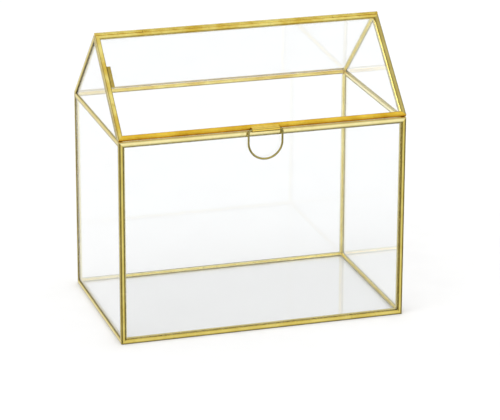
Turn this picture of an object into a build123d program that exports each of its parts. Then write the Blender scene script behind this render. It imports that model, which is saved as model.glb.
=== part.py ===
"""Card box shaped like a small house: clear panes in a frame of slender brass bars.

The front half of the roof is a glazed lid that turns back on a pin along the ridge, and a
D-shaped pull ring hangs from a strap on its lower rail.  Sizes are in millimetres, +X is to
the right, -Y is the front, +Z is up, and the origin is on the ground at the middle of the case.

A bar is a square core with two thin lips.  Each lip runs over the outer face of a pane, and thin
inner angles and strips cover the edges of the panes from inside the case, so a pane is bedded
between a lip and an inner piece.
"""
from build123d import *
import os
from math import asin, atan2, cos, hypot, sin, tan

os.makedirs("parts", exist_ok=True)

# ---------------------------------------------------------------- driving dimensions
WIDTH = 210.0            # case, along X
DEPTH = 130.0            # case, along Y
HEIGHT = 210.0           # ground to the top of the ridge
EAVE = 149.0             # ground to the top of the eave rails

CORE = 2.5               # side of a bar's square core, and thickness of a bedded pane with its lip
LIP = 0.5                # thickness of a lip
LIP_REACH = 1.0          # how far a lip runs over a pane, past the core
EDGE_R = 0.6             # rounding of a bar's outer edge
LIP_R = 0.2              # rounding of a lip's edges
PANE_GAP = 0.15          # between a pane's edge and the core beside it
BED = 0.05               # film of sealant on each face of a pane, under its lips and inner angles

INNER_T = 0.5            # inner angles and strips, over the inner faces of the panes
INNER_REACH = 2.0        # how far a leg of an inner angle runs over a pane
INNER_LAP = 1.5          # how far a side eave's inner strip runs down over the wall pane

LID_CORE = 2.2           # width of a lid bar's core
LID_GAP = 0.3            # between the closed lid and the case below it
LID_SETBACK = 1.7        # lid's lower inner edge, behind the front of the case

KNUCKLE_R = 1.25         # hinge tubes
BORE_R = 0.80
PIN_R = 0.75
KNUCKLE_X = 70.45        # where the lid's tube ends and the case's tubes begin
KNUCKLE_GAP = 0.3        # end gap between two tubes
TUBE_GAP = 0.25          # hinge tube to the rail beside it
HINGE_WEB = 1.0          # thickness of the web that joins a tube to its rail

STRAP_LENGTH = 20.0      # folded strap that the ring hangs from
STRAP_T = 0.75
STRAP_TAIL = 1.4         # strap on the outer face of the lid's lower rail
STRAP_DROP = 1.9         # ring axis, past the lower edge of the lid
STRAP_RISE = 0.3         # ring axis, above the outer face of the lid
RING_WIRE_R = 0.75
RING_SIDE_GAP = 1.6      # strap's end to the ring's leg
RING_CORNER_R = 2.4
RING_DROP = 9.1          # ring axis to the centre of its round end

CLIP_WIDTH = 2.6         # clip that holds the lid's pane against its left stile
CLIP_LENGTH = 17.0
CLIP_T = 0.7
CLIP_FROM_RIDGE = 27.5

# ---------------------------------------------------------------- worked-out dimensions
BAR = CORE + LIP_REACH
PANE = CORE - LIP - 2 * BED
PANE_FACE = LIP + BED              # outer face of the frame to the outer face of a pane
LID_BAR = LID_CORE + LIP_REACH
SEAT = CORE + PANE_GAP             # outer face of the frame to the edge of a pane
HALF_W = WIDTH / 2
HALF_D = DEPTH / 2
WEB = CORE - LIP_REACH             # web of a side eave rail, between the wall pane and the gable pane
WEB_BOTTOM = EAVE - LIP_REACH - WEB
INNER_FACE = CORE + INNER_T        # outer face of the frame to the free face of an inner angle
INNER_END = CORE + INNER_REACH     # and to the end of its leg
STRAP_LOOP_R = BORE_R + STRAP_T

X = Vector(1, 0, 0)
Y = Vector(0, 1, 0)
Z = Vector(0, 0, 1)

AXIS = Vector(0, 0, HEIGHT - KNUCKLE_R)


def pitch_over(run, rise, offset):
    """Pitch of a plane that passes a point and lies `offset` outside the hinge axis."""
    return atan2(rise, run) + asin(offset / hypot(run, rise))


# Back slope: its outer plane runs from the back eave to the top of the hinge tubes.
BACK_PITCH = pitch_over(HALF_D, AXIS.Z - EAVE, KNUCKLE_R)
DOWN_B = Vector(0, cos(BACK_PITCH), -sin(BACK_PITCH))
OUT_B = Vector(0, sin(BACK_PITCH), cos(BACK_PITCH))

# Lid: its inner plane clears the front eave rail, and its outer plane touches the tubes.
LID_TOE_Y = -HALF_D + LID_SETBACK
LID_TOE_Z = EAVE + LID_GAP
LID_PITCH = pitch_over(-LID_TOE_Y, AXIS.Z - LID_TOE_Z, KNUCKLE_R - CORE)
DOWN_L = Vector(0, -cos(LID_PITCH), -sin(LID_PITCH))
OUT_L = Vector(0, -sin(LID_PITCH), cos(LID_PITCH))
LID_END = (Vector(0, LID_TOE_Y, LID_TOE_Z) - AXIS).dot(DOWN_L)      # axis to the lid's lower edge
LID_OUTER = KNUCKLE_R
LID_INNER = KNUCKLE_R - CORE
SADDLE = LID_INNER - LID_GAP       # outer plane of the front rafters, under the lid

# Hinge axis to the edge of the rail on each side.  The rails clear the tubes, and the lid's inner
# edge clears the ridge rail below the axis.
FOLD = LID_PITCH + BACK_PITCH      # how far one slope turns from the other
clear_of_ridge = (LID_GAP - LID_INNER * sin(FOLD)) / (1 + cos(FOLD))
STANDOFF = max(KNUCKLE_R + TUBE_GAP, clear_of_ridge)

BACK_EAVE = Vector(0, HALF_D, EAVE)
BACK_END = (BACK_EAVE - AXIS).dot(DOWN_B)


def in_back_slope(x, down, out):
    """Point in the back slope: across, down the slope from the hinge axis, and out of it."""
    return AXIS + X * x + DOWN_B * down + OUT_B * out


def in_lid(x, down, out):
    """Point in the lid: across, down the slope from the hinge axis, and out of it."""
    return AXIS + X * x + DOWN_L * down + OUT_L * out


def section_plane(start, end, u, v):
    """Plane across a bar that runs from start to end, with local x along u and local y along v."""
    along = end - start
    if along.dot(u.cross(v)) > 0:
        return Plane(origin=start, x_dir=u, z_dir=along)
    return Plane(origin=end, x_dir=u, z_dir=-along)


def bar(name, section, start, end, u, v, cuts):
    """A bar of one section, with its ends cut by planes given as (point on it, side kept)."""
    with BuildPart() as piece:
        with BuildSketch(section_plane(start, end, u, v)):
            add(section)
        extrude(amount=(end - start).length)
        for point, kept in cuts:
            split(bisect_by=Plane(origin=point, z_dir=kept), keep=Keep.TOP)
    piece.part.label = name
    export_step(piece.part, f"parts/{name}.step")


def pane(name, plane, outline):
    """A pane cut to an outline on the plane of its outer face, grown along the plane's normal."""
    with BuildPart() as piece:
        with BuildSketch(plane):
            with BuildLine():
                Polyline(*outline, close=True)
            make_face()
        extrude(amount=PANE)
    piece.part.label = name
    export_step(piece.part, f"parts/{name}.step")


# ---------------------------------------------------------------- bar sections
# Each has its outer edge at the origin, and its two outer faces along local x and local y.
with BuildSketch() as came:
    with BuildLine():
        Polyline(
            (0, 0), (BAR, 0), (BAR, LIP), (CORE, LIP), (CORE, CORE),
            (LIP, CORE), (LIP, BAR), (0, BAR), close=True,
        )
    make_face()
    lip_ends = came.vertices().sort_by_distance((0, 0, 0))[-4:]
    fillet(lip_ends, LIP_R)
    fillet(came.vertices().sort_by_distance((0, 0, 0))[0], EDGE_R)

with BuildSketch() as lid_came:
    with BuildLine():
        Polyline(
            (0, 0), (LID_BAR, 0), (LID_BAR, LIP), (LID_CORE, LIP),
            (LID_CORE, CORE), (0, CORE), close=True,
        )
    make_face()
    lip_ends = lid_came.vertices().group_by(Axis.X)[-1]
    fillet(lip_ends, LIP_R)
    fillet(lid_came.vertices().sort_by_distance((0, 0, 0))[0], EDGE_R)

# The back eave rail joins the back wall to the back slope, so its section follows both.
# Local x runs inward from the wall, and local y up from the eave.
UP_B = -DOWN_B
IN_B = -OUT_B


def on_slope(up, depth):
    """Point of the back eave section, up the back slope from the eave and in from its face."""
    place = UP_B * up + IN_B * depth
    return (-place.Y, place.Z)


def inner_bend(depth):
    """Point of the back eave section where two planes lie `depth` inside the wall and the slope."""
    return (depth, depth * tan(BACK_PITCH) - depth / cos(BACK_PITCH))


with BuildSketch() as eave_came:
    with BuildLine():
        Polyline(
            (0, 0), (0, -BAR), (LIP, -BAR), (LIP, -CORE), (CORE, -CORE), inner_bend(CORE),
            on_slope(CORE, CORE), on_slope(CORE, LIP), on_slope(BAR, LIP), on_slope(BAR, 0),
            close=True,
        )
    make_face()
    fillet(eave_came.vertices().sort_by_distance((0, 0, 0))[0], EDGE_R)

# An inner angle fills the corner inside a bar's two panes, and an inner strip lies over one pane.
with BuildSketch() as inner_angle:
    with BuildLine():
        Polyline(
            (CORE, CORE), (INNER_END, CORE), (INNER_END, INNER_FACE), (INNER_FACE, INNER_FACE),
            (INNER_FACE, INNER_END), (CORE, INNER_END), close=True,
        )
    make_face()

with BuildSketch() as inner_strip:
    with BuildLine():
        Polyline((CORE, LIP), (INNER_FACE, LIP), (INNER_FACE, INNER_END), (CORE, INNER_END), close=True)
    make_face()


def along_slope(point, up):
    """A point of the back eave section moved up along the back slope."""
    return (point[0] + up * cos(BACK_PITCH), point[1] + up * sin(BACK_PITCH))


with BuildSketch() as eave_angle:
    outer_bend = inner_bend(CORE)
    free_bend = inner_bend(INNER_FACE)
    wall_end = outer_bend[1] - INNER_REACH
    slope_end = along_slope(outer_bend, INNER_REACH)
    with BuildLine():
        Polyline(
            outer_bend, (CORE, wall_end), (INNER_FACE, wall_end), free_bend,
            (slope_end[0] + INNER_T * sin(BACK_PITCH), slope_end[1] - INNER_T * cos(BACK_PITCH)),
            slope_end, close=True,
        )
    make_face()

# ---------------------------------------------------------------- base rails
# Each rail is mitred against the rail and the post that it meets at a corner.
for side, name in ((-1, "base_front_rail"), (1, "base_back_rail")):
    left = Vector(-HALF_W, side * HALF_D, 0)
    right = Vector(HALF_W, side * HALF_D, 0)
    inward = Y * -side
    cuts = [(left, X - inward), (left, X - Z), (right, -X - inward), (right, -X - Z)]
    bar(name, came.sketch, left, right, inward, Z, cuts)
    bar(f"{name}_inner_angle", inner_angle.sketch, left, right, inward, Z, cuts)

for side, name in ((-1, "base_left_rail"), (1, "base_right_rail")):
    front = Vector(side * HALF_W, -HALF_D, 0)
    back = Vector(side * HALF_W, HALF_D, 0)
    inward = X * -side
    cuts = [(front, Y - inward), (front, Y - Z), (back, -Y - inward), (back, -Y - Z)]
    bar(name, came.sketch, front, back, inward, Z, cuts)
    bar(f"{name}_inner_angle", inner_angle.sketch, front, back, inward, Z, cuts)

# ---------------------------------------------------------------- posts
# A front post is mitred against the front eave rail, a back post against the back eave rail
# and the back rafter.
for side, name in ((-1, "left"), (1, "right")):
    inward = X * -side
    foot = Vector(side * HALF_W, -HALF_D, 0)
    top = Vector(side * HALF_W, -HALF_D, EAVE)
    cuts = [(foot, Z - inward), (foot, Z - Y), (top, -Z - inward)]
    bar(f"front_{name}_post", came.sketch, foot, top, inward, Y, cuts)
    bar(f"front_{name}_post_inner_angle", inner_angle.sketch, foot, top, inward, Y, cuts)

    foot = Vector(side * HALF_W, HALF_D, 0)
    top = Vector(side * HALF_W, HALF_D, EAVE)
    cuts = [(foot, Z - inward), (foot, Z + Y), (top, -Z - inward), (top, -Z + DOWN_B)]
    bar(f"back_{name}_post", came.sketch, foot, top, inward, -Y, cuts)
    bar(f"back_{name}_post_inner_angle", inner_angle.sketch, foot, top, inward, -Y, cuts)

# ---------------------------------------------------------------- eave rails
# The inner pieces of the front and back eaves stop at the inner faces of the side eaves.
inside_sides = [(X * (CORE - HALF_W), X), (X * (HALF_W - CORE), -X)]
left = Vector(-HALF_W, -HALF_D, EAVE)
right = Vector(HALF_W, -HALF_D, EAVE)
cuts = [(left, X + Z), (right, -X + Z)]
bar("front_eave_rail", came.sketch, left, right, Y, -Z, cuts)
bar("front_eave_inner_strip", inner_strip.sketch, left, right, Y, -Z, cuts + inside_sides)

left = Vector(-HALF_W, HALF_D, EAVE)
right = Vector(HALF_W, HALF_D, EAVE)
cuts = [(left, X + Z), (left, X - UP_B), (right, -X + Z), (right, -X - UP_B)]
bar("back_eave_rail", eave_came.sketch, left, right, -Y, Z, cuts)
bar("back_eave_inner_angle", eave_angle.sketch, left, right, -Y, Z, cuts + inside_sides)

# A side eave rail is a T: its lip covers the wall pane and the gable pane, and its web lies
# between them.  At the back the lip stops under the back rafter's lip, and the web under its core.
under_rafter_y = HALF_D - BAR / sin(BACK_PITCH)
under_rafter_z = EAVE - (HALF_D - BAR - under_rafter_y) * tan(BACK_PITCH)
under_core = BACK_EAVE + IN_B * CORE
under_angle = BACK_EAVE + IN_B * INNER_END
for side, name in ((-1, "left"), (1, "right")):
    outer_face = Plane(origin=(side * HALF_W, 0, 0), x_dir=(0, -side, 0), z_dir=(-side, 0, 0))
    with BuildPart() as side_eave_rail:
        with BuildSketch(outer_face):
            with BuildLine():
                Polyline(
                    (side * (HALF_D - BAR), EAVE - BAR),
                    (side * (HALF_D - BAR), EAVE),
                    (-side * under_rafter_y, EAVE),
                    (-side * (HALF_D - BAR), under_rafter_z),
                    (-side * (HALF_D - BAR), EAVE - BAR),
                    close=True,
                )
            make_face()
        extrude(amount=LIP)
        with BuildSketch(outer_face.offset(LIP)):
            with Locations((0, EAVE - LIP_REACH - WEB / 2)):
                Rectangle(DEPTH - 2 * CORE, WEB)
        extrude(amount=CORE - LIP)
        split(bisect_by=Plane(origin=under_core, z_dir=IN_B), keep=Keep.TOP)
    side_eave_rail.part.label = f"{name}_eave_rail"
    export_step(side_eave_rail.part, f"parts/{name}_eave_rail.step")

    strip_bottom = WEB_BOTTOM - INNER_LAP
    with BuildPart() as side_inner_strip:
        with BuildSketch(outer_face.offset(CORE)):
            with Locations((0, (strip_bottom + EAVE) / 2)):
                Rectangle(DEPTH - 2 * INNER_END, EAVE - strip_bottom)
        extrude(amount=INNER_T)
        split(bisect_by=Plane(origin=under_angle, z_dir=IN_B), keep=Keep.TOP)
    side_inner_strip.part.label = f"{name}_eave_inner_strip"
    export_step(side_inner_strip.part, f"parts/{name}_eave_inner_strip.step")

# ---------------------------------------------------------------- rafters and ridge
for side, name in ((-1, "left"), (1, "right")):
    x = side * HALF_W
    inward = X * -side
    eave = Vector(x, HALF_D, EAVE)
    ridge = in_back_slope(x, STANDOFF, KNUCKLE_R)
    cuts = [(eave, UP_B + Z), (eave, UP_B - inward), (ridge, DOWN_B - inward)]
    bar(f"{name}_back_rafter", came.sketch, eave, ridge, inward, IN_B, cuts)
    bar(f"{name}_back_rafter_inner_angle", inner_angle.sketch, eave, ridge, inward, IN_B, cuts)

    # A front rafter stands on the eave rails, and its top butts under the back rafter.  Its inner
    # strip butts under the back rafter's inner angle.
    saddle = AXIS + OUT_L * SADDLE
    foot = saddle + DOWN_L * ((saddle.Z - EAVE) / -DOWN_L.Z) + X * x
    under_back = AXIS + OUT_B * (KNUCKLE_R - BAR)
    reach = (foot - under_back).dot(OUT_B) / DOWN_L.dot(OUT_B)
    top = foot - DOWN_L * (reach + CORE)
    cuts = [(foot, Z), (under_back, IN_B)]
    bar(f"{name}_front_rafter", came.sketch, foot, top, inward, -OUT_L, cuts)
    cuts = [(foot, Z), (under_angle, IN_B)]
    bar(f"{name}_front_rafter_inner_strip", inner_strip.sketch, foot, top, inward, -OUT_L, cuts)

left = in_back_slope(-HALF_W, STANDOFF, KNUCKLE_R)
right = in_back_slope(HALF_W, STANDOFF, KNUCKLE_R)
cuts = [(left, X - DOWN_B), (right, -X - DOWN_B)]
bar("ridge_rail", came.sketch, left, right, DOWN_B, IN_B, cuts)
bar("ridge_inner_strip", inner_strip.sketch, left, right, IN_B, DOWN_B, cuts)

# ---------------------------------------------------------------- panes of the case
# A pane's edge stops PANE_GAP short of the core beside it, behind the lips.
WALL_TOP = EAVE - SEAT
SIDE_WALL_TOP = EAVE - LIP_REACH - WEB - PANE_GAP
GABLE_BOTTOM = EAVE - LIP_REACH + PANE_GAP
WIDE = HALF_W - SEAT
DEEP = HALF_D - SEAT

pane(
    "floor_pane", Plane.XY.offset(PANE_FACE),
    [(-WIDE, -DEEP), (WIDE, -DEEP), (WIDE, DEEP), (-WIDE, DEEP)],
)
for side, name in ((-1, "front_pane"), (1, "back_pane")):
    place = (0, side * (HALF_D - PANE_FACE), 0)
    outer_face = Plane(origin=place, x_dir=(side, 0, 0), z_dir=(0, -side, 0))
    pane(name, outer_face, [(-WIDE, SEAT), (WIDE, SEAT), (WIDE, WALL_TOP), (-WIDE, WALL_TOP)])


def meet(out_1, offset_1, out_2, offset_2):
    """Outline point (Y, Z) where two planes across the case meet, each as normal and offset."""
    turn = out_1.Y * out_2.Z - out_1.Z * out_2.Y
    y = (offset_1 * out_2.Z - offset_2 * out_1.Z) / turn
    z = (out_1.Y * offset_2 - out_2.Y * offset_1) / turn
    return (y, z)


front_edge = AXIS.dot(OUT_L) + SADDLE - SEAT
back_edge = AXIS.dot(OUT_B) + KNUCKLE_R - SEAT
gable = [
    meet(OUT_L, front_edge, Z, GABLE_BOTTOM),
    meet(OUT_B, back_edge, Z, GABLE_BOTTOM),
    meet(OUT_L, front_edge, OUT_B, back_edge),
]
for side, name in ((-1, "left"), (1, "right")):
    place = (side * (HALF_W - PANE_FACE), 0, 0)
    outer_face = Plane(origin=place, x_dir=(0, -side, 0), z_dir=(-side, 0, 0))
    wall = [(-DEEP, SEAT), (DEEP, SEAT), (DEEP, SIDE_WALL_TOP), (-DEEP, SIDE_WALL_TOP)]
    pane(f"{name}_pane", outer_face, wall)
    pane(f"{name}_gable_pane", outer_face, [(-side * y, z) for y, z in gable])

outer_face = Plane(origin=in_back_slope(0, 0, KNUCKLE_R - PANE_FACE), x_dir=-X, z_dir=IN_B)
top = STANDOFF + SEAT
end = BACK_END - SEAT
pane("back_roof_pane", outer_face, [(-WIDE, top), (WIDE, top), (WIDE, end), (-WIDE, end)])

# ---------------------------------------------------------------- lid
IN_L = -OUT_L
top_left = in_lid(-HALF_W, STANDOFF, LID_OUTER)
top_right = in_lid(HALF_W, STANDOFF, LID_OUTER)
end_left = in_lid(-HALF_W, LID_END, LID_OUTER)
end_right = in_lid(HALF_W, LID_END, LID_OUTER)

cuts = [(top_left, X - DOWN_L), (top_right, -X - DOWN_L)]
bar("lid_top_rail", lid_came.sketch, top_left, top_right, DOWN_L, IN_L, cuts)
cuts = [(end_left, X + DOWN_L), (end_right, -X + DOWN_L)]
bar("lid_bottom_rail", lid_came.sketch, end_left, end_right, -DOWN_L, IN_L, cuts)
cuts = [(top_left, DOWN_L - X), (end_left, -DOWN_L - X)]
bar("lid_left_stile", lid_came.sketch, top_left, end_left, X, IN_L, cuts)
cuts = [(top_right, DOWN_L + X), (end_right, -DOWN_L + X)]
bar("lid_right_stile", lid_came.sketch, top_right, end_right, -X, IN_L, cuts)

outer_face = Plane(origin=in_lid(0, 0, LID_OUTER - PANE_FACE), x_dir=X, z_dir=IN_L)
seat = LID_CORE + PANE_GAP
wide = HALF_W - seat
top = STANDOFF + seat
end = LID_END - seat
pane("lid_pane", outer_face, [(-wide, top), (wide, top), (wide, end), (-wide, end)])

# A short flat strip along the left stile holds the pane down.
clip_plane = Plane(origin=in_lid(0, 0, LID_OUTER - LIP), x_dir=-X, z_dir=OUT_L)
with BuildPart() as lid_pane_clip:
    with BuildSketch(clip_plane):
        with Locations((HALF_W - LID_BAR - CLIP_WIDTH / 2, CLIP_FROM_RIDGE + CLIP_LENGTH / 2)):
            Rectangle(CLIP_WIDTH, CLIP_LENGTH)
    extrude(amount=CLIP_T)
    raised_face = lid_pane_clip.faces().sort_by(Axis(AXIS, OUT_L))[-1]
    chamfer(raised_face.edges(), CLIP_T / 3)
lid_pane_clip.part.label = "lid_pane_clip"
export_step(lid_pane_clip.part, "parts/lid_pane_clip.step")

# ---------------------------------------------------------------- hinge
WEB_START = (BORE_R + KNUCKLE_R) / 2
for name, x_from, x_to, down in (
    ("lid_hinge_tube", -KNUCKLE_X + KNUCKLE_GAP / 2, KNUCKLE_X - KNUCKLE_GAP / 2, DOWN_L),
    ("left_hinge_tube", -HALF_W, -KNUCKLE_X - KNUCKLE_GAP / 2, DOWN_B),
    ("right_hinge_tube", KNUCKLE_X + KNUCKLE_GAP / 2, HALF_W, DOWN_B),
):
    with BuildPart() as hinge_tube:
        with BuildSketch(Plane(origin=AXIS + X * x_from, x_dir=down, z_dir=X)):
            Circle(KNUCKLE_R)
            with Locations(((WEB_START + STANDOFF) / 2, 0)):
                Rectangle(STANDOFF - WEB_START, HINGE_WEB)
            Circle(BORE_R, mode=Mode.SUBTRACT)
        extrude(amount=x_to - x_from)
    hinge_tube.part.label = name
    export_step(hinge_tube.part, f"parts/{name}.step")

with BuildPart() as hinge_pin:
    with BuildSketch(Plane(origin=AXIS - X * HALF_W, z_dir=X)):
        Circle(PIN_R)
    extrude(amount=WIDTH)
    fillet(hinge_pin.edges().filter_by(GeomType.CIRCLE), PIN_R / 3)
hinge_pin.part.label = "hinge_pin"
export_step(hinge_pin.part, "parts/hinge_pin.step")

# ---------------------------------------------------------------- pull ring and its strap
RING_AXIS = in_lid(0, LID_END + STRAP_DROP, LID_OUTER + STRAP_RISE)
tail_end = (BORE_R + STRAP_LOOP_R) / 2
with BuildPart() as ring_strap:
    with BuildSketch(Plane(origin=RING_AXIS - X * (STRAP_LENGTH / 2), x_dir=-DOWN_L, z_dir=X)):
        Circle(STRAP_LOOP_R)
        with Locations(((tail_end + STRAP_DROP + STRAP_TAIL) / 2, STRAP_T / 2 - STRAP_RISE)):
            Rectangle(STRAP_DROP + STRAP_TAIL - tail_end, STRAP_T)
        Circle(BORE_R, mode=Mode.SUBTRACT)
    extrude(amount=STRAP_LENGTH)
    tail_face = ring_strap.faces().sort_by(Axis(AXIS, DOWN_L))[0]
    outer_edge = tail_face.edges().sort_by(Axis(AXIS, OUT_L))[-1]
    fillet(outer_edge, STRAP_T / 2)
ring_strap.part.label = "ring_strap"
export_step(ring_strap.part, "parts/ring_strap.step")

leg = STRAP_LENGTH / 2 + RING_SIDE_GAP + RING_WIRE_R
bend = leg - RING_CORNER_R
with BuildPart() as pull_ring:
    with BuildLine(Plane(origin=RING_AXIS, x_dir=X, z_dir=-Y)) as ring_path:
        Line((0, 0), (bend, 0))
        RadiusArc((bend, 0), (leg, -RING_CORNER_R), RING_CORNER_R)
        Line((leg, -RING_CORNER_R), (leg, -RING_DROP))
        ThreePointArc((leg, -RING_DROP), (0, -RING_DROP - leg), (-leg, -RING_DROP))
        Line((-leg, -RING_DROP), (-leg, -RING_CORNER_R))
        RadiusArc((-leg, -RING_CORNER_R), (-bend, 0), RING_CORNER_R)
        Line((-bend, 0), (0, 0))
    with BuildSketch(Plane(origin=RING_AXIS, z_dir=X)):
        Circle(RING_WIRE_R)
    sweep()
pull_ring.part.label = "pull_ring"
export_step(pull_ring.part, "parts/pull_ring.step")
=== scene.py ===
"""Looks for the glass card box: brass, glass, a white studio and the camera.

Everything is in metres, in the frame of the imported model: +X right, -Y front, +Z up.
"""
from math import cos, radians, sin

import bpy
from mathutils import Matrix, Vector


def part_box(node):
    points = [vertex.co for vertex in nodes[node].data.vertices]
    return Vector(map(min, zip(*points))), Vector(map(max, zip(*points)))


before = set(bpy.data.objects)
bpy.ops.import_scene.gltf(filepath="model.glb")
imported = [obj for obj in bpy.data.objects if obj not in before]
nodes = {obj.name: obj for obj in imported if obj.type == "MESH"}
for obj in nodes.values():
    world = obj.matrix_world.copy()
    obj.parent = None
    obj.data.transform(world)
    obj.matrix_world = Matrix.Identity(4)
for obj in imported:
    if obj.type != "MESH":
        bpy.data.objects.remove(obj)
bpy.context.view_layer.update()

MM = 0.001


# ---------------------------------------------------------------- camera
AZIMUTH = -17.24          # degrees, to the left of straight on
ELEVATION = 19.03         # degrees above the ground
ROLL = 0.2                # degrees
DISTANCE = 1.950          # from the camera to AIM
AIM = Vector((0.0058, -0.0119, 0.0720))
SENSOR = 36.0             # mm
LENS = 193.9              # mm
FAR_CLIP = 20.0


def add_camera():
    """Camera that looks at AIM from AZIMUTH and ELEVATION."""
    azimuth, elevation = radians(AZIMUTH), radians(ELEVATION)
    back = Vector((sin(azimuth) * cos(elevation), -cos(azimuth) * cos(elevation), sin(elevation)))
    data = bpy.data.cameras.new("camera")
    data.sensor_width = SENSOR
    data.lens = LENS
    data.clip_end = FAR_CLIP
    camera = bpy.data.objects.new("camera", data)
    bpy.context.scene.collection.objects.link(camera)
    turn = back.to_track_quat("Z", "Y").to_matrix().to_4x4()
    roll = Matrix.Rotation(radians(ROLL), 4, "Z")
    camera.matrix_world = Matrix.Translation(AIM + back * DISTANCE) @ turn @ roll
    bpy.context.scene.camera = camera


# ---------------------------------------------------------------- node helpers
def new_material(name):
    """An empty node material with its output, as (material, tree, output node)."""
    material = bpy.data.materials.new(name)
    material.use_nodes = True
    tree = material.node_tree
    tree.nodes.clear()
    output = tree.nodes.new("ShaderNodeOutputMaterial")
    return material, tree, output


def noise(tree, vector, scale, detail=3.0, roughness=0.5):
    """Noise texture over a vector socket; returns its factor socket."""
    node = tree.nodes.new("ShaderNodeTexNoise")
    node.inputs["Scale"].default_value = scale
    node.inputs["Detail"].default_value = detail
    node.inputs["Roughness"].default_value = roughness
    tree.links.new(vector, node.inputs["Vector"])
    return node.outputs["Fac"]


def ramp(tree, factor, stops):
    """Colour ramp through (position, colour) stops; returns its colour socket."""
    node = tree.nodes.new("ShaderNodeValToRGB")
    elements = node.color_ramp.elements
    while len(elements) < len(stops):
        elements.new(0.5)
    for element, (position, colour) in zip(elements, stops):
        element.position = position
        element.color = (*colour, 1.0)
    tree.links.new(factor, node.inputs["Fac"])
    return node.outputs["Color"]


def span(tree, factor, low, high, from_low=0.3, from_high=0.7):
    """A factor stretched to run from low to high; returns its socket."""
    node = tree.nodes.new("ShaderNodeMapRange")
    node.inputs["From Min"].default_value = from_low
    node.inputs["From Max"].default_value = from_high
    node.inputs["To Min"].default_value = low
    node.inputs["To Max"].default_value = high
    tree.links.new(factor, node.inputs["Value"])
    return node.outputs["Result"]


def maths(tree, operation, first, second):
    """Maths of two sockets or numbers; returns its socket."""
    node = tree.nodes.new("ShaderNodeMath")
    node.operation = operation
    for socket, value in zip(node.inputs, (first, second)):
        if isinstance(value, (int, float)):
            socket.default_value = value
        else:
            tree.links.new(value, socket)
    return node.outputs["Value"]


def bump(tree, height, distance, below=None):
    """Bump of a height socket, over an earlier normal; returns its normal socket."""
    node = tree.nodes.new("ShaderNodeBump")
    node.inputs["Strength"].default_value = 1.0
    node.inputs["Distance"].default_value = distance
    tree.links.new(height, node.inputs["Height"])
    if below is not None:
        tree.links.new(below, node.inputs["Normal"])
    return node.outputs["Normal"]


def vector_maths(tree, operation, *values):
    """Vector maths of sockets or constant vectors; returns the node."""
    node = tree.nodes.new("ShaderNodeVectorMath")
    node.operation = operation
    for socket, value in zip(node.inputs, values):
        if isinstance(value, bpy.types.NodeSocket):
            tree.links.new(value, socket)
        else:
            socket.default_value = value
    return node


def across_bar(tree, place, centre, along):
    """Vector from a bar's centre line to the place, square to the line; returns its socket."""
    offset = vector_maths(tree, "SUBTRACT", place, centre).outputs["Vector"]
    run = vector_maths(tree, "PROJECT", offset, along).outputs["Vector"]
    return vector_maths(tree, "SUBTRACT", offset, run).outputs["Vector"]


def crowned_normal(tree, across, lean):
    """Normal of a bar whose faces are slightly crowned, leaning outward by `lean` for each metre."""
    outward = vector_maths(tree, "MULTIPLY", across, [lean] * 3).outputs["Vector"]
    turned = tree.nodes.new("ShaderNodeVectorTransform")
    turned.vector_type = "VECTOR"
    turned.convert_from = "OBJECT"
    turned.convert_to = "WORLD"
    tree.links.new(outward, turned.inputs["Vector"])
    flat = tree.nodes.new("ShaderNodeNewGeometry").outputs["Normal"]
    total = vector_maths(tree, "ADD", flat, turned.outputs["Vector"]).outputs["Vector"]
    return vector_maths(tree, "NORMALIZE", total).outputs["Vector"]


# ---------------------------------------------------------------- materials
# Sizes of the noise in brass, for each metre: a larger number is a finer pattern.
BLOTCHES = 60             # uneven colour
SPOTS = 210               # tarnish
GRAIN = 900               # uneven roughness
WAVES = 85                # faces that aren't quite flat
DRAWING = 2600            # marks of the drawing die
WAVE_HEIGHT = 0.08 * MM
DRAWING_HEIGHT = 0.005 * MM

SPOT_STAIN = 0.5          # how far a spot has tarnished
EDGE_PAINTED_SHADE = 0.55         # painted shade along a bar's edges: how far they are mixed toward the dark tarnished colour
TARNISH_AND_SHADE_ROUGHNESS = 0.12    # what tarnished spots and the painted edge shade add to the roughness at full strength

SMEARS = 14               # size of the noise in glass
GLASS_IOR = 1.5
GLASS_SPECULAR = 0.4

PAPER = 30                # size of the noise in the floor
PAPER_TONES = [(0.3, (0.90, 0.90, 0.90)), (0.7, (0.92, 0.92, 0.92))]
PAPER_ROUGHNESS = 0.9
PAPER_SPECULAR = 0.1


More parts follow.
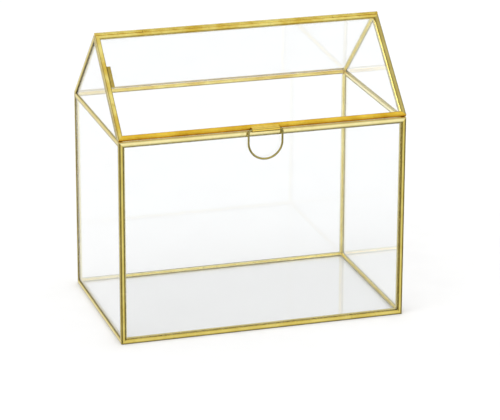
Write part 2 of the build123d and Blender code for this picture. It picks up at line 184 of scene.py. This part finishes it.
def brass(name, tones, smooth, rough, line=None, lean=0.0, edge=(0.0, 1.0)):
    """Lacquered brass: uneven colour and roughness, tarnished spots, drawing marks and slight waves.

    A bar gives its centre line, and has crowned faces and painted shade along its edges, mixed toward the
    tarnished colour.
    """
    pale, deep, tarnish_and_shade_colour = tones
    material, tree, output = new_material(name)
    shader = tree.nodes.new("ShaderNodeBsdfPrincipled")
    place = tree.nodes.new("ShaderNodeTexCoord").outputs["Object"]
    tone = noise(tree, place, BLOTCHES, detail=4.0, roughness=0.6)
    base = ramp(tree, tone, [(0.36, deep), (0.64, pale)])
    spots = noise(tree, place, SPOTS, detail=5.0, roughness=0.65)
    tarnish_and_edge_shade = span(tree, spots, 0.0, SPOT_STAIN, from_low=0.58, from_high=0.80)
    crowned = None
    if line:
        across = across_bar(tree, place, *line)
        crowned = crowned_normal(tree, across, lean)
        distance = vector_maths(tree, "LENGTH", across).outputs["Value"]
        # painted shade: the bar's edges are mixed toward the tarnished colour, more strongly the farther
        # they are from the centre line
        tarnish_and_edge_shade = maths(tree, "MAXIMUM", tarnish_and_edge_shade, span(tree, distance, 0.0, EDGE_PAINTED_SHADE, *edge))
    mixed = tree.nodes.new("ShaderNodeMix")
    mixed.data_type = "RGBA"
    tree.links.new(tarnish_and_edge_shade, mixed.inputs["Factor"])
    tree.links.new(base, mixed.inputs["A"])
    mixed.inputs["B"].default_value = (*tarnish_and_shade_colour, 1.0)
    tree.links.new(mixed.outputs["Result"], shader.inputs["Base Color"])
    shader.inputs["Metallic"].default_value = 1.0
    grain = span(tree, noise(tree, place, GRAIN, roughness=0.6), smooth, rough)
    matt = maths(tree, "ADD", grain, maths(tree, "MULTIPLY", tarnish_and_edge_shade, TARNISH_AND_SHADE_ROUGHNESS))
    tree.links.new(matt, shader.inputs["Roughness"])
    waves = bump(tree, noise(tree, place, WAVES, detail=1.0), WAVE_HEIGHT, below=crowned)
    marks = bump(tree, noise(tree, place, DRAWING, detail=2.0), DRAWING_HEIGHT, below=waves)
    tree.links.new(marks, shader.inputs["Normal"])
    tree.links.new(shader.outputs["BSDF"], output.inputs["Surface"])
    return material


def clear(name, colour, smooth, rough, lets_through, depth_colour, density):
    """Smeared clear glass that lets lamps and stray light through, and is tinted by its depth."""
    material, tree, output = new_material(name)
    shader = tree.nodes.new("ShaderNodeBsdfPrincipled")
    place = tree.nodes.new("ShaderNodeTexCoord").outputs["Object"]
    shader.inputs["Base Color"].default_value = (*colour, 1.0)
    shader.inputs["Transmission Weight"].default_value = 1.0
    shader.inputs["IOR"].default_value = GLASS_IOR
    shader.inputs["Specular IOR Level"].default_value = GLASS_SPECULAR
    smears = noise(tree, place, SMEARS, detail=4.0, roughness=0.6)
    matt = span(tree, smears, smooth, rough, from_low=0.45, from_high=0.75)
    tree.links.new(matt, shader.inputs["Roughness"])
    lamp = tree.nodes.new("ShaderNodeBsdfTransparent")
    lamp.inputs["Color"].default_value = (*lets_through, 1.0)
    path = tree.nodes.new("ShaderNodeLightPath")
    mixed = tree.nodes.new("ShaderNodeMixShader")
    stray = maths(tree, "MAXIMUM", path.outputs["Is Shadow Ray"], path.outputs["Is Diffuse Ray"])
    tree.links.new(stray, mixed.inputs["Fac"])
    tree.links.new(shader.outputs["BSDF"], mixed.inputs[1])
    tree.links.new(lamp.outputs["BSDF"], mixed.inputs[2])
    tree.links.new(mixed.outputs["Shader"], output.inputs["Surface"])
    depth = tree.nodes.new("ShaderNodeVolumeAbsorption")
    depth.inputs["Color"].default_value = (*depth_colour, 1.0)
    depth.inputs["Density"].default_value = density
    tree.links.new(depth.outputs["Volume"], output.inputs["Volume"])
    return material


def floor_material():
    """Matt white paper, very slightly uneven."""
    material, tree, output = new_material("studio_floor")
    shader = tree.nodes.new("ShaderNodeBsdfPrincipled")
    place = tree.nodes.new("ShaderNodeTexCoord").outputs["Object"]
    tone = ramp(tree, noise(tree, place, PAPER), PAPER_TONES)
    tree.links.new(tone, shader.inputs["Base Color"])
    shader.inputs["Roughness"].default_value = PAPER_ROUGHNESS
    shader.inputs["Specular IOR Level"].default_value = PAPER_SPECULAR
    tree.links.new(shader.outputs["BSDF"], output.inputs["Surface"])
    return material


# How much a bar's normals lean outward for each mm from its centre line, and how far from that
# line, in mm, the painted shade along its edges begins and reaches full strength.
CASE_SHADING = (0.37, (1.95, 2.40))
LID_SHADING = (0.37, (1.60, 2.05))
INNER_SHADING = (0.50, (0.90, 1.12))
BAR_ROUGHNESS = (0.14, 0.24)

# Each tone is a pale, a deep and a tarnished colour; the tarnished colour also colours the painted shade
# along the bars' edges.
BAR_TONES = ((0.80, 0.66, 0.20), (0.70, 0.55, 0.13), (0.38, 0.28, 0.05))
# Painted light: a paler, yellower copy of the case's brass for the inner pieces.
INNER_TONES = ((0.99, 0.91, 0.52), (0.92, 0.82, 0.40), (0.34, 0.28, 0.08))
# Painted highlight: a brighter copy of the case's brass for the front eave rail.
EAVE_TONES = ((1.00, 0.90, 0.46), (0.94, 0.82, 0.37), (0.56, 0.45, 0.14))
# Painted shade: a darker copy of the lid's brass for the lid's right stile.
STILE_TONES = ((0.62, 0.52, 0.18), (0.52, 0.42, 0.12), (0.26, 0.20, 0.04))
LID_TONES = ((0.98, 0.84, 0.27), (0.78, 0.55, 0.08), (0.42, 0.27, 0.04))
# Painted reflection: a deeper, more orange copy of the lid's brass for the lid's bottom rail.
TOE_TONES = ((0.97, 0.66, 0.08), (0.78, 0.46, 0.03), (0.46, 0.25, 0.02))
STRAP_TONES = ((0.95, 0.70, 0.15), (0.86, 0.60, 0.10), (0.50, 0.32, 0.06))
RING_TONES = ((0.62, 0.54, 0.22), (0.50, 0.42, 0.13), (0.26, 0.20, 0.06))
CLIP_TONES = ((0.56, 0.43, 0.11), (0.46, 0.34, 0.07), (0.28, 0.20, 0.04))

strap_brass = brass("strap_brass", STRAP_TONES, smooth=0.10, rough=0.20)
ring_brass = brass("ring_brass", RING_TONES, smooth=0.12, rough=0.24)
clip_brass = brass("clip_brass", CLIP_TONES, smooth=0.16, rough=0.28)
hinge_brass = brass("hinge_brass", LID_TONES, smooth=0.12, rough=0.24)
glass = clear(
    "pane_glass", colour=(0.972, 0.978, 0.98), smooth=0.0, rough=0.012,
    lets_through=(0.987, 0.987, 0.987), depth_colour=(0.92, 0.94, 0.935), density=2.0,
)

FITTINGS = {
    "ring_strap": strap_brass,
    "pull_ring": ring_brass,
    "lid_pane_clip": clip_brass,
    "hinge_pin": hinge_brass,
    "lid_hinge_tube": hinge_brass,
    "left_hinge_tube": hinge_brass,
    "right_hinge_tube": hinge_brass,
}


def centre_line(node):
    """Middle of a bar, and the direction that it runs in."""
    low, high = (Vector(corner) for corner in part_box(node))
    size = high - low
    if "rafter" in node or "stile" in node:
        lean = -size.y if "back" in node else size.y
        return (low + high) / 2, Vector((0, lean, size.z)).normalized()
    longest = max(range(3), key=lambda axis: size[axis])
    return (low + high) / 2, Vector([float(axis == longest) for axis in range(3)])


# Bars whose tones aren't those of their kind: lighter, darker and more orange copies of one brass, which
# paint the highlight, shade and reflection on these bars.
TONES = {
    "front_eave_rail": EAVE_TONES,
    "back_eave_inner_angle": LID_TONES,
    "lid_bottom_rail": TOE_TONES,
    "lid_right_stile": STILE_TONES,
}


def bar_tones(node):
    """Tones of a bar: those listed for it in TONES, which paint light and shade on it, or those of the
    inner pieces, the lid's bars or the case's bars.
    """
    if node in TONES:
        return TONES[node]
    if "inner" in node:
        return INNER_TONES
    return LID_TONES if node.startswith("lid") else BAR_TONES


def bar_material(node):
    """Drawn brass with its crown and the painted shade on its edges along the bar's own centre line."""
    lean, edge = CASE_SHADING
    if "inner" in node:
        lean, edge = INNER_SHADING
    elif node.startswith("lid"):
        lean, edge = LID_SHADING
    edge = [distance * MM for distance in edge]
    name = f"brass_{node}"
    return brass(name, bar_tones(node), *BAR_ROUGHNESS, centre_line(node), lean / MM, edge)


def kind(node):
    """The material of a CAD node."""
    if node.endswith("pane"):
        return glass
    return FITTINGS.get(node) or bar_material(node)


for name, piece in nodes.items():
    piece.data.materials.clear()
    piece.data.materials.append(kind(name))


# ---------------------------------------------------------------- studio
FLOOR_REACH = 6.0         # from the middle of the floor to its edges


def add_floor():
    """Wide white floor under the case, which isn't mirrored in metal or glass."""
    mesh = bpy.data.meshes.new("studio_floor")
    corners = [(x * FLOOR_REACH, y * FLOOR_REACH, 0) for x, y in ((-1, -1), (1, -1), (1, 1), (-1, 1))]
    mesh.from_pydata(corners, [], [(0, 1, 2, 3)])
    floor = bpy.data.objects.new("studio_floor", mesh)
    bpy.context.scene.collection.objects.link(floor)
    mesh.materials.append(floor_material())
    floor.visible_glossy = False


# Each sun's direction, strength and width in degrees.
SUNS = {
    "key_light": ((-0.6, -0.5, 1.0), 1.17, 50),
    "top_light": ((0.2, 0.2, 1.0), 0.83, 80),
}


def add_sun(name, towards, strength, spread):
    """Wide soft sun that shines from `towards`, and isn't mirrored in metal or glass."""
    data = bpy.data.lights.new(name, "SUN")
    data.energy = strength
    data.angle = radians(spread)
    lamp = bpy.data.objects.new(name, data)
    bpy.context.scene.collection.objects.link(lamp)
    lamp.matrix_world = Vector(towards).to_track_quat("Z", "Y").to_matrix().to_4x4()
    lamp.visible_glossy = False


# What metal and glass see of the studio, by the height of the direction, from straight down to
# straight up: a grey floor, bright panels all round, a dark band above them and a bright ceiling.
PANELS_BY_HEIGHT = [
    (0.00, (0.30, 0.30, 0.30)),
    (0.12, (0.45, 0.45, 0.45)),
    (0.27, (1.00, 1.00, 1.00)),
    (0.64, (1.00, 1.00, 1.00)),
    (0.72, (0.40, 0.40, 0.40)),
    (0.82, (0.28, 0.28, 0.28)),
    (0.93, (0.95, 0.95, 0.95)),
    (1.00, (0.80, 0.80, 0.80)),
]
ROOM_LIGHT = 0.62         # light of the white surroundings on the floor
BACKDROP = 1.0            # light of the surroundings where they are seen
PANELS = 4                # bright panels round the studio, with darker gaps between them
PANEL_TURN = 17.0         # degrees from straight in front to the middle of a panel
PANEL_EDGE = (-0.3, 0.9)  # where on the wave round the studio a gap ends and a panel begins
OVERHEAD = (0.0, 0.2)     # heights between which the gaps fill with light
GAP_LIGHT = 0.12          # light of a gap
PANEL_LIGHT = 1.0         # light of a panel


def add_world():
    """White surroundings, in which metal and glass see bright panels and darker gaps."""
    world = bpy.data.worlds.new("studio")
    bpy.context.scene.world = world
    world.use_nodes = True
    tree = world.node_tree
    tree.nodes.clear()
    output = tree.nodes.new("ShaderNodeOutputWorld")
    plain = tree.nodes.new("ShaderNodeBackground")
    plain.inputs["Color"].default_value = (1, 1, 1, 1)
    seen = tree.nodes.new("ShaderNodeBackground")
    direction = tree.nodes.new("ShaderNodeTexCoord").outputs["Generated"]
    axes = tree.nodes.new("ShaderNodeSeparateXYZ")
    tree.links.new(direction, axes.inputs["Vector"])
    height = span(tree, axes.outputs["Z"], 0.0, 1.0, -1.0, 1.0)
    tree.links.new(ramp(tree, height, PANELS_BY_HEIGHT), seen.inputs["Color"])
    forward = maths(tree, "MULTIPLY", axes.outputs["Y"], -1.0)
    turn = maths(tree, "ARCTAN2", axes.outputs["X"], forward)
    phase = maths(tree, "MULTIPLY", maths(tree, "SUBTRACT", turn, radians(PANEL_TURN)), float(PANELS))
    wave = maths(tree, "COSINE", phase, 0.0)
    round_about = span(tree, wave, GAP_LIGHT, PANEL_LIGHT, *PANEL_EDGE)
    overhead = span(tree, axes.outputs["Z"], 0.0, PANEL_LIGHT, *OVERHEAD)
    tree.links.new(maths(tree, "MAXIMUM", round_about, overhead), seen.inputs["Strength"])
    path = tree.nodes.new("ShaderNodeLightPath")
    looked_at = maths(tree, "MAXIMUM", path.outputs["Is Camera Ray"], path.outputs["Is Transmission Ray"])
    tree.links.new(span(tree, looked_at, ROOM_LIGHT, BACKDROP, 0.0, 1.0), plain.inputs["Strength"])
    mixed = tree.nodes.new("ShaderNodeMixShader")
    tree.links.new(path.outputs["Is Glossy Ray"], mixed.inputs["Fac"])
    tree.links.new(plain.outputs["Background"], mixed.inputs[1])
    tree.links.new(seen.outputs["Background"], mixed.inputs[2])
    tree.links.new(mixed.outputs["Shader"], output.inputs["Surface"])


add_camera()
add_floor()
add_world()
for name, (towards, strength, spread) in SUNS.items():
    add_sun(name, towards, strength, spread)
bpy.context.scene.view_settings.view_transform = "Standard"
